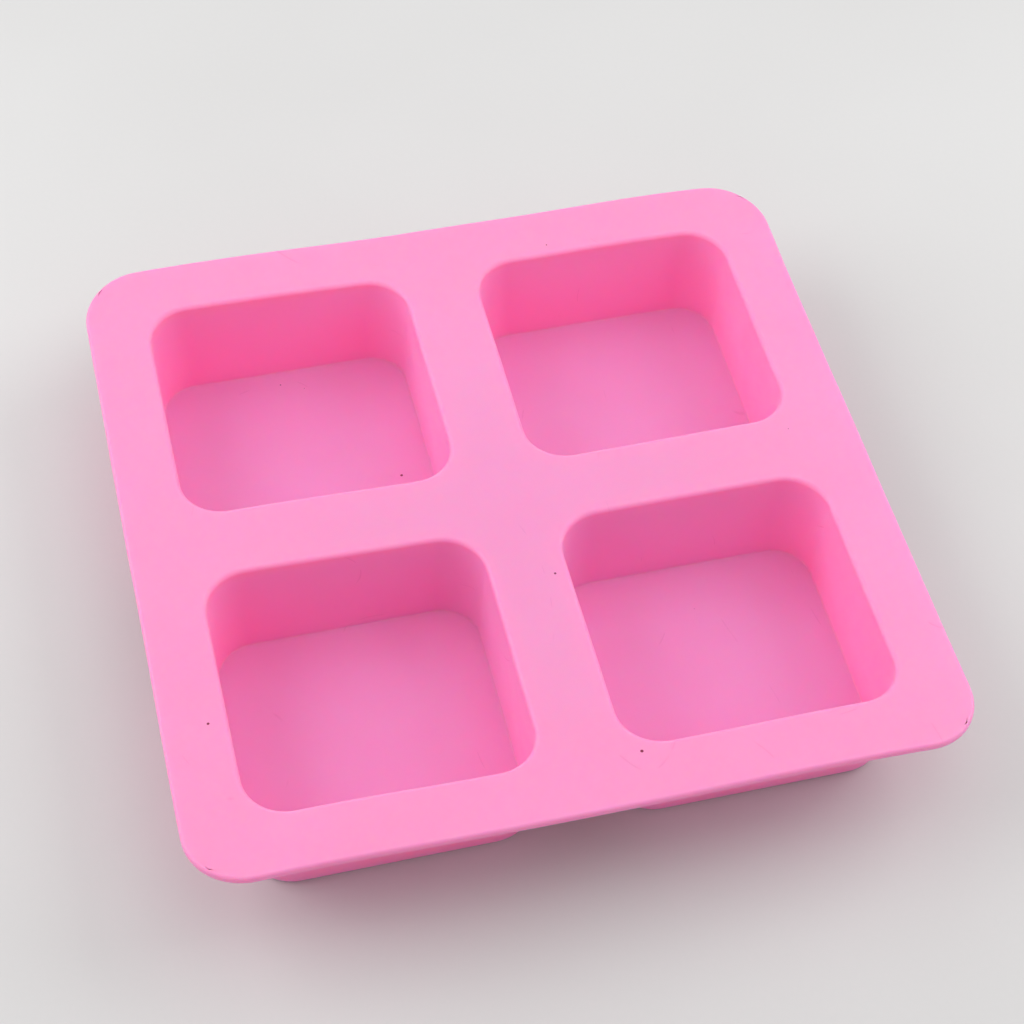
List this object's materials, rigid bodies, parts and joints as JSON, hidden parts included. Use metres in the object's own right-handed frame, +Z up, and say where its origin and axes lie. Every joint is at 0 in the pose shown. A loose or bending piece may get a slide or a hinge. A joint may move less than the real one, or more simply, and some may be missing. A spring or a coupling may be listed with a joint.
{
  "type": "soap mould",
  "caption": "Square silicone bar mould: a flat rounded deck with straight-walled, rounded-square cavities hanging under it as separate cups.",
  "frame": {"origin": "middle of the deck's outline, at the height of the cups' flat bases", "axes": "+Z up, out of the cavities; +X and +Y along the deck's two straight sides"},
  "size_m": [0.192, 0.192, 0.032],
  "materials": {
    "silicone": "matte, translucent pink silicone with a faint haze"
  },
  "bodies": {
    "root": {"deck": "silicone", "wall_back_left": "silicone", "wall_back_right": "silicone", "wall_front_left": "silicone", "wall_front_right": "silicone", "floor_back_left": "silicone", "floor_back_right": "silicone", "floor_front_left": "silicone", "floor_front_right": "silicone"}
  },
  "joints": []
}
